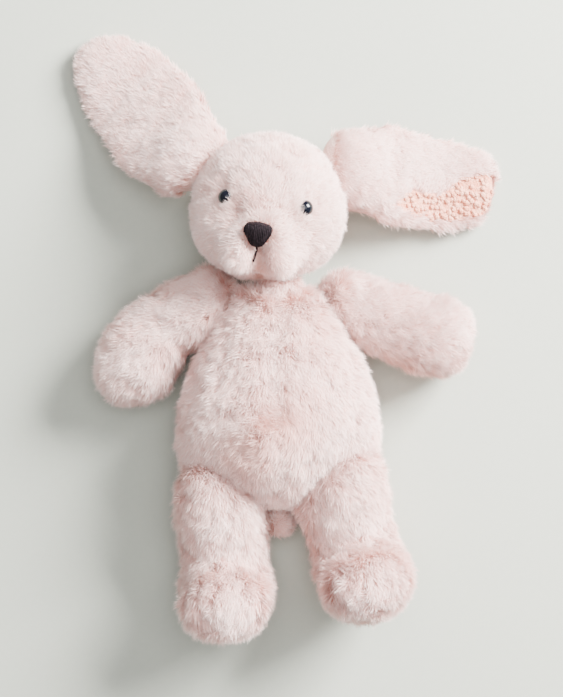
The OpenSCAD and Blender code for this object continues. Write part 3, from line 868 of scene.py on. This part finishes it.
def make_head():
    """The head, with a puffed muzzle, its cleft, and the eyes sunk in the pile."""
    skin = cover("head_cover", HEAD_PANELS, 0.3 * MM, hull=True, voxel=3.0 * MM)
    co = coords(skin.data)
    for across, up, swell in MUZZLE:
        puff = NOSE + np.array([across, up, -4]) * MM
        co = pushed(co, puff, 8 * MM, (unit(puff - HEAD_MID) * swell + [across * 0.14, -2.6, 0]) * MM)
    for side, reach in CHEEK.items():
        cheek = HEAD_MID + (eye_place(side)[0] - HEAD_MID) * [1.35, 0, 0.3] + [0, -15 * MM, 0]
        co = pushed(co, cheek, 14 * MM, unit(cheek - HEAD_MID) * reach * MM)
    set_coords(skin.data, co)
    cleft = [NOSE + [CLEFT_X, -5 * MM, 0], NOSE + [CLEFT_X, -24 * MM, 0]]
    co = creased(co, normals(skin.data), cleft, CLEFT_W, CLEFT_DEPTH)
    for side in SIDES:
        eye, look = eye_place(side)
        inward = unit(NOSE - eye)
        co = pushed(co, eye - inward * 1.5 * MM, 6 * MM, -look * EYE_DIMPLE[side])
        co = pushed(co, eye + inward * 9 * MM, 5.5 * MM, -look * EYE_HOLLOW[side])
        co = pushed(co, eye + inward * 3.2 * MM, 3.4 * MM, look * EYE_LID[side])
    co = pushed(co, NOSE, 6 * MM, -NOSE_OUT * 0.6 * MM)
    set_coords(skin.data, co)
    out = normals(skin.data)
    comb = unit(co - (NOSE + NOSE_OUT * 2 * MM))
    bare = ease(4.2 * MM, 5.2 * MM, np.linalg.norm((co - NOSE) * [0.8, 0.9, 0.6], axis=1))
    length = HEAD_PILE * (0.72 + 0.28 * ease(8 * MM, 26 * MM, distance(co, NOSE)))
    for side in SIDES:
        eye = eye_place(side)[0]
        gap = distance(co, eye)
        bare *= ease(EYE_SHOWN[side], EYE_SHOWN[side] + 0.9 * MM, gap)
        outer = np.clip((co - eye) @ unit(eye - NOSE) / (3 * MM), 0, 1)
        comb += unit(co - eye) * (1.2 * outer * np.exp(-(gap / (7 * MM)) ** 2))[:, None]
        length *= 0.72 + 0.28 * ease(3 * MM, 8 * MM, gap)
    # The cleft below the nose gets shorter pile, painted pinker and darker: painted shade in the crease, with
    # the roots' tone
    below_nose = ease(NOSE[1] - 2 * MM, NOSE[1] - 6 * MM, co[:, 1])
    in_cleft = np.exp(-((co[:, 0] - cleft[0][0]) / (3.8 * MM)) ** 2) * below_nose
    in_cleft *= facing_front(out)
    stitch = np.linalg.norm((co - middle("mouth_stitch") - [0, 1 * MM, 0]) * [1, 0.3, 0.3], axis=1)
    bare *= ease(0.8 * MM, 1.8 * MM, stitch)
    set_pile(skin, comb, length * (1 - 0.5 * in_cleft), bare, 1.3 * in_cleft)
    front = ease(-0.1, 0.05, out[:, 2])
    furs = [furred("head_pile_face", skin, 21, lean=0.7, ruffle=0.5, clump=7 * MM, where=front),
            furred("head_pile_back", skin, 22, lean=0.8, ruffle=0.7, clump=7 * MM, where=1 - front)]
    kept = ("nose", "eye_left", "eye_right", "mouth_stitch", "eye_left_washer", "eye_right_washer")
    dressed(skin, furs, "head", [n for n in BODIES["head"] if n not in kept])


def make_neck():
    skin = cover("neck_cover", BODIES["neck"], 3 * MM, voxel=3 * MM)
    co = coords(skin.data)
    comb = np.tile([0.0, -1.0, 0.0], (len(co), 1))
    set_pile(skin, comb, NECK_PILE, 1.0)
    furs = [furred("neck_pile", skin, 31, lean=0.7, ruffle=0.8)]
    dressed(skin, furs, "neck", BODIES["neck"])


# ---------- Limbs ----------

def along_limb(co, pivot, points):
    """Directions down a limb whose middle line runs through some points."""
    comb = np.zeros_like(co)
    weight = np.zeros(len(co))
    path = [pivot, *points]
    for a, b in zip(path[:-1], path[1:]):
        near = nearness(co, (a + b) / 2, 16 * MM)
        comb += near[:, None] * unit(b - a)
        weight += near
    return comb / np.maximum(weight, 1e-9)[:, None]


def middle_line(co, pivot, steps):
    """A limb's middle line, from slices at growing distance from its pivot."""
    reach = distance(co, pivot)
    edges = np.linspace(reach.min(), reach.max(), steps + 1)
    return [co[(reach >= a) & (reach <= b)].mean(axis=0) for a, b in zip(edges[:-1], edges[1:])]


# Where a limb is fuller at its root, or drawn in: place from its pivot, reach and push, in mm
LIMB_FILL = {
    "arm_left": [((-2, 8, 6), 13, (-3, 2.5, 2)), ((60, -16, -3), 20, (-4, 1, 0))],
    "arm_right": [((2, 8, 6), 13, (3, 6, 2))],
    "leg_left": [((6, 8, 10), 15, (3, 7, 5))],
    "leg_right": [((-6, 8, 10), 15, (-3, 7, 5))],
}


# Once it is stuffed, a limb's cover stands a little outside its solid
LIMB_INSET = -0.3 * MM
# Each limb's joint, the body of its root's wad, its pile's seed and length, and how full its root is
LIMBS = {
    "arm_left": ("shoulder_left_lift", "shoulder_left", 41, 6.2 * MM, 1.8 * MM),
    "arm_right": ("shoulder_right_lift", "shoulder_right", 42, 6.2 * MM, 1.8 * MM),
    "leg_left": ("hip_left_bend", "hip_left", 43, 6.6 * MM, 3.6 * MM),
    "leg_right": ("hip_right_bend", "hip_right", 44, 6.6 * MM, 3.6 * MM),
}


def make_limb(body, joint, wad, seed, pile, swell):
    """An arm or a leg, fuller at its root, where its pile stops inside the body's."""
    skin = cover(f"{body}_cover", BODIES[body], LIMB_INSET)
    co = coords(skin.data)
    pivot = PIVOT[joint]
    bulge = swell * nearness(co, pivot, 18 * MM)
    co = co + unit(co - pivot) * bulge[:, None] + bulge[:, None] * [0, 0, 0.6]
    for place, radius, push in LIMB_FILL[body]:
        co = pushed(co, pivot + np.array(place) * MM, radius * MM, np.array(push) * MM)
    co[:, 2] = np.maximum(co[:, 2], SKIN_GAP)
    set_coords(skin.data, co)
    line = middle_line(co, pivot, 6)
    comb = along_limb(co, pivot, line[1:])
    away = unit(co - TORSO_MID)
    inside = np.linalg.norm((co - TORSO_MID) / TORSO_HALF, axis=1)
    bare = ease(0.36, 0.50, inside)
    set_pile(skin, comb + away * 0.15, pile, bare)
    furs = [furred(f"{body}_pile", skin, seed, lean=0.45, ruffle=0.7, clump=10 * MM)]
    dressed(skin, furs, body, [*BODIES[body], *BODIES[wad]])


# ---------- Ears ----------

EAR_PILE = 5.2 * MM
EAR_ROOT_FULL = 2.2 * MM
# Shares of an ear's length, and how long and wide it is there and how far to one side (mm)
EAR_AT = (-0.15, 0.0, 0.18, 0.38, 0.60, 0.78, 0.92)
EAR_SHAPE = {
    "left": {"long": (1, 1, 0.96, 0.95, 0.95, 0.95, 0.95), "wide": (1.6, 1.35, 0.98, 0.93, 0.92, 1.0, 1.25),
             "shift": (2, 1.5, 1, -1.2, -2.5, -3, -2)},
    "right": {"long": (1, 1, 1, 1, 1, 1, 1), "wide": (1.3, 1.5, 1.12, 1.06, 1.0, 0.96, 1.0),
              "shift": (4, 7, 7, 5, 3.4, 3, 3.5)},
}
# Outline of the lining that shows on the left ear, as (share of length, share of half width)
SHOWN_LINING = [(0.23, -0.56), (0.32, -0.38), (0.44, -0.27), (0.58, -0.34), (0.65, -0.15), (0.73, 0.08),
                (0.85, 0.24), (0.93, 0.12), (0.93, -0.24), (0.88, -0.60), (0.69, -0.76), (0.53, -0.77),
                (0.40, -0.73)]


def inside_outline(points, outline):
    """Which flat points lie inside a closed outline."""
    hit = np.zeros(len(points), bool)
    for (ax, ay), (bx, by) in zip(outline, outline[1:] + outline[:1]):
        cross = (points[:, 1] < ay) != (points[:, 1] < by)
        at = ax + (points[:, 1] - ay) * (bx - ax) / ((by - ay) or 1e-12)
        hit ^= cross & (points[:, 0] < at)
    return hit


def ear_frame(side):
    """Root, direction along the ear, direction across it, length and half width."""
    root, axis = PIVOT[f"ear_{side}_swing"], AXIS[f"ear_{side}_fold"]
    ahead = np.array([-axis[1], axis[0], 0.0])
    across = np.array([-ahead[1], ahead[0], 0.0])
    points = np.vstack([coords(NODES[f"ear_{side}_plush"].data), coords(NODES[f"ear_{side}_lining"].data)])
    return root, ahead, across, ((points - root) @ ahead).max(), np.abs((points - root) @ across).max()


def make_ear(side, seed):
    """An ear that fans out over the head at its root, with its lining."""
    base, blade = f"ear_{side}_base", f"ear_{side}_blade"
    nodes = [*BODIES[base], *BODIES[blade]]
    skin = cover(f"ear_{side}_cover", nodes, 0.9 * MM, voxel=2.4 * MM, swell=0.4 * MM)
    root, ahead, across, length, half = ear_frame(side)
    co = coords(skin.data)
    s = (co - root) @ ahead / length
    bulge = EAR_ROOT_FULL * nearness(co, root, 15 * MM)
    co = co + unit(co - root) * bulge[:, None]
    shape = EAR_SHAPE[side]
    along, wide, shift = (np.interp(s, EAR_AT, shape[key]) for key in ("long", "wide", "shift"))
    co += ahead * ((co - root) @ ahead * (along - 1))[:, None]
    co += across * ((co - root) @ across * (wide - 1) + shift * MM)[:, None]
    co[:, 2] = np.maximum(co[:, 2], SKIN_GAP)
    set_coords(skin.data, co)
    out = normals(skin.data)
    s, t = (co - root) @ ahead / length, (co - root) @ across / half
    flat = np.stack([s, t], 1)
    under = ease(0.25, 0.5, -out[:, 2]) * ease(0.30, 0.36, s)
    shown = inside_outline(flat, SHOWN_LINING) if side == "left" else np.zeros(len(co), bool)
    shown &= out[:, 2] > 0.1
    comb = np.tile(ahead, (len(co), 1)) + across * (t * 0.35)[:, None]
    if side == "left":
        comb += across * (1.6 * np.exp(-((t + 0.25) / 0.3) ** 2) * ease(0.2, 0.4, s))[:, None]
    bare = (1 - under) * np.where(shown, 0.0, 1.0) * ease(-0.10, -0.02, s)
    set_pile(skin, comb, EAR_PILE, bare)
    bend = (base, blade, tuple(PIVOT[f"ear_{side}_fold"] - ahead * 6 * MM),
            tuple(PIVOT[f"ear_{side}_fold"] + ahead * 10 * MM))
    furs = [furred(f"ear_{side}_pile", skin, seed, lean=0.95, ruffle=0.3, clump=8 * MM)]
    lining = make_lining(side, skin, np.maximum(under, shown * 1.0), seed)
    dressed(skin, furs, bend, [n for n in nodes if "lining" not in n])
    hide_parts(f"ear_{side}_lining")


NUB_R = 1.25 * MM
NUB_SPACING = 2.2 * MM
# How far the lining's cloth, and the middles of its nubs, stand off the cover (mm)
CLOTH_PROUD = 0.5
NUB_PROUD = 0.7


def nub(place, out, rand, bm):
    """A small bead of looped yarn."""
    radius = NUB_R * rand.uniform(0.8, 1.25)
    bead = bmesh.ops.create_icosphere(bm, subdivisions=1, radius=radius)["verts"]
    squeeze = rand.uniform(0.45, 0.7)
    for v in bead:
        p = v.co * (1 + rand.uniform(-0.12, 0.12))
        p -= out * p.dot(out) * (1 - squeeze)
        v.co = place + p


def make_lining(side, skin, share, seed):
    """The lining's cloth with its nubs, a little proud of the cover."""
    rand = random.Random(seed)
    bm = bmesh.new()
    bm.from_mesh(skin.data)
    bm.verts.ensure_lookup_table()
    lose = [f for f in bm.faces if np.mean([share[v.index] for v in f.verts]) < 0.4]
    bmesh.ops.delete(bm, geom=lose, context="FACES")
    places = []
    for f in bm.faces:
        wanted = f.calc_area() / NUB_SPACING ** 2
        for _ in range(int(wanted) + (rand.random() < wanted % 1)):
            w = [rand.random() for _ in f.verts]
            at = sum((v.co * k for v, k in zip(f.verts, w)), Vector()) / sum(w)
            places.append((at, f.normal.copy()))
    for v in bm.verts:
        v.co += v.normal * CLOTH_PROUD * MM
    for at, out in places:
        nub(at + out * NUB_PROUD * MM, out, rand, bm)
    for v in bm.verts:
        v.co.z = max(v.co.z, FLOOR_GAP)
    mesh = finished(bm, f"ear_{side}_lining_cloth")
    mesh.materials.clear()
    mesh.materials.append(LINING_MAT)
    smooth_shaded(mesh)
    drop_attributes(mesh, "comb", "cover", "pile", "blush")
    obj = add_object(f"ear_{side}_lining_cloth", mesh)
    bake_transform(obj)
    return obj


# ---------- Tail ----------

TAIL_PILE = 5.5 * MM


def make_tail():
    skin = cover("tail_cover_cloth", ["tail_cover"], 2.5 * MM, voxel=2.4 * MM)
    co = coords(skin.data)
    comb = unit(co - middle("tail_cover") + [0, 6 * MM, 0])
    set_pile(skin, comb, TAIL_PILE, 1.0)
    furs = [furred("tail_pile", skin, 61, lean=0.5, ruffle=1.0)]
    dressed(skin, furs, "tail", BODIES["tail"])


# ---------- Nose, mouth and eyes ----------

THREAD_SIDES = 6
NOSE_THREADS = 17
NOSE_THREAD_R = 0.43 * MM
# Half the width that the stitches cover (mm), how many probes find where each one runs,
# and the shares of its length at which a stitch has its points
NOSE_HALF_W = 6.1
NOSE_PROBES = 60
STITCH_AT = (0.02, 0.14, 0.28, 0.42, 0.56, 0.70, 0.84, 0.97)
MOUTH_THREAD_R = 0.5 * MM
MOUTH_POINTS = 7
# Where the mouth's thread starts above its middle, how far apart its points are, how far it wavers,
# and how far its points and its two ends stand off the cover, in the pile (mm)
MOUTH_TOP = 4.2
MOUTH_STEP = 1.15
MOUTH_WAVER = 0.25
MOUTH_LIFT = 3.2
MOUTH_END_LIFT = 1.6
# How far outside the face a probe starts (mm), and how far it reaches
PROBE_FROM = 12
PROBE_REACH = 40 * MM


def thread_tube(bm, points, radius):
    """A round thread through some points, drawn in at both ends."""
    rings = []
    for i, p in enumerate(points):
        ahead = (points[min(i + 1, len(points) - 1)] - points[max(i - 1, 0)]).normalized()
        side = ahead.cross(Vector(NOSE_OUT)).normalized()
        up = side.cross(ahead)
        r = radius * (0.35 if i in (0, len(points) - 1) else 1)
        rings.append([bm.verts.new(p + (side * math.cos(a) + up * math.sin(a)) * r)
                      for a in [2 * math.pi * k / THREAD_SIDES for k in range(THREAD_SIDES)]])
    for low, high in zip(rings[:-1], rings[1:]):
        for k in range(THREAD_SIDES):
            following = (k + 1) % THREAD_SIDES
            bm.faces.new((low[k], low[following], high[following], high[k]))
    bm.faces.new(list(reversed(rings[0])))
    bm.faces.new(rings[-1])


def probed(tree, at, out):
    """Where a line towards the face through a place meets a surface, or None."""
    return tree.ray_cast(at + out * PROBE_FROM * MM, -out, PROBE_REACH)[0]


def sewn(bm, name):
    """A piece of embroidery from the threads that were built."""
    mesh = finished(bm, name)
    smooth_shaded(mesh)
    mesh.materials.append(THREAD_MAT)
    return add_object(name, mesh)


def make_nose():
    """Satin stitches side by side over the nose pad, with a longer thread down to the mouth."""
    tree = BVHTree.FromObject(NODES["nose"], bpy.context.evaluated_depsgraph_get())
    out = Vector(NOSE_OUT)
    up = Vector(UP_OF_FACE)
    up = (up - out * up.dot(out)).normalized()
    side = up.cross(out).normalized()
    rand = random.Random(5)
    low, high = (Vector(c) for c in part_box("nose"))
    half = (high - low).length / 2
    bm = bmesh.new()
    for k in range(NOSE_THREADS):
        x = (k / (NOSE_THREADS - 1) * 2 - 1) * NOSE_HALF_W * MM
        hits = []
        for j in range(NOSE_PROBES):
            y = (j / (NOSE_PROBES - 1) * 2 - 1) * half
            place = probed(tree, Vector(NOSE) + side * x + up * y, out)
            if place is not None:
                hits.append((y, place))
        if len(hits) < 4:
            continue
        first, last = hits[0][0] - 0.5 * MM * rand.random(), hits[-1][0] + 0.5 * MM * rand.random()
        pick = [hits[int(q * (len(hits) - 1))][1] for q in STITCH_AT]
        lift = rand.uniform(0.10, 0.26) * MM
        points = [p + out * lift for p in pick]
        points[0] = points[0] - out * 0.5 * MM - up * abs(first - hits[0][0])
        points[-1] = points[-1] - out * 0.5 * MM + up * abs(last - hits[-1][0])
        thread_tube(bm, points, NOSE_THREAD_R)
    threads = sewn(bm, "nose_threads")
    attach(threads, "head")
    make_mouth(out, up, side)


def make_mouth(out, up, side):
    """One short thread down the cleft of the muzzle, with its ends sunk in the pile."""
    stitch = Vector(middle("mouth_stitch"))
    tree = BVHTree.FromObject(bpy.data.objects["head_cover"], bpy.context.evaluated_depsgraph_get())
    points = []
    for j in range(MOUTH_POINTS):
        waver = MOUTH_WAVER * math.sin(j * 0.9)
        at = stitch + up * (MOUTH_TOP - j * MOUTH_STEP) * MM + side * waver * MM
        place = probed(tree, at, out)
        lift = MOUTH_LIFT if 0 < j < MOUTH_POINTS - 1 else MOUTH_END_LIFT
        points.append((place if place is not None else at) + out * lift * MM)
    bm = bmesh.new()
    thread_tube(bm, points, MOUTH_THREAD_R)
    thread = sewn(bm, "mouth_thread")
    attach(thread, "head")
    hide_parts("mouth_stitch")


def repaint(node, mat):
    """Gives one of the frame's own solids a better material."""
    obj = NODES[node]
    if not obj.material_slots:
        obj.data.materials.append(mat)
    for place in obj.material_slots:
        place.material = mat


# The face's own up direction: square to the line between the eyes
EYES_APART = unit(eye_place("left")[0] - eye_place("right")[0])
UP_OF_FACE = unit(np.cross([0, 0, 1], EYES_APART))


# ---------- Floor, light and camera ----------

def make_floor():
    bm = bmesh.new()
    bmesh.ops.create_grid(bm, x_segments=1, y_segments=1, size=3.0)
    mesh = finished(bm, "floor")
    mesh.materials.append(floor_material())
    add_object("floor", mesh)


def area_light(name, place, size, watts, colour):
    """A square lamp that shines at the toy."""
    data = bpy.data.lights.new(name, "AREA")
    data.size = size
    data.energy = watts
    data.color = colour
    obj = bpy.data.objects.new(name, data)
    bpy.context.scene.collection.objects.link(obj)
    obj.location = place
    obj.rotation_euler = (Vector(LIT_PLACE) - Vector(place)).to_track_quat("-Z", "Y").to_euler()


# The camera looks straight down: the height of the strip that it sees at the level of VIEW_PLANE,
# how far above that level it is, and the place that it is above
VIEW_HIGH = 313.7 * MM
VIEW_FROM = 870 * MM
VIEW_PLANE = 30 * MM
VIEW_AT = (1.35 * MM, 23.2 * MM)
ROOM_COLOUR = (0.96, 0.97, 1.0, 1)
ROOM_LIGHT = 0.52
LIT_PLACE = (0, 0.02, 0.03)


def make_camera():
    data = bpy.data.cameras.new("camera")
    data.sensor_fit = "VERTICAL"
    data.angle_y = 2 * math.atan(VIEW_HIGH / 2 / VIEW_FROM)
    data.clip_start = 0.01
    obj = bpy.data.objects.new("camera", data)
    obj.location = (*VIEW_AT, VIEW_PLANE + VIEW_FROM)
    bpy.context.scene.collection.objects.link(obj)
    bpy.context.scene.camera = obj


def make_light():
    world = bpy.data.worlds.new("soft_room")
    world.use_nodes = True
    background = world.node_tree.nodes["Background"]
    background.inputs["Color"].default_value = ROOM_COLOUR
    background.inputs["Strength"].default_value = ROOM_LIGHT
    bpy.context.scene.world = world
    area_light("window", place=(0.85, 0.6, 0.62), size=0.6, watts=138, colour=(1.0, 0.985, 0.965))
    area_light("top", place=(0.1, 0.1, 1.2), size=0.9, watts=14, colour=(1, 1, 1))


make_camera()
make_light()
make_floor()
make_torso()
make_head()
make_neck()
for limb, settings in LIMBS.items():
    make_limb(limb, *settings)
make_ear("left", seed=51)
make_ear("right", seed=52)
make_tail()
make_nose()
repaint("nose", THREAD_MAT)
EYE_MAT = eye_material()
NYLON_MAT = nylon_material()
for side in SIDES:
    repaint(f"eye_{side}", EYE_MAT)
    repaint(f"eye_{side}_washer", NYLON_MAT)
for tuft_object in list(TUFTS.objects):
    bpy.data.objects.remove(tuft_object)
bpy.data.collections.remove(TUFTS)
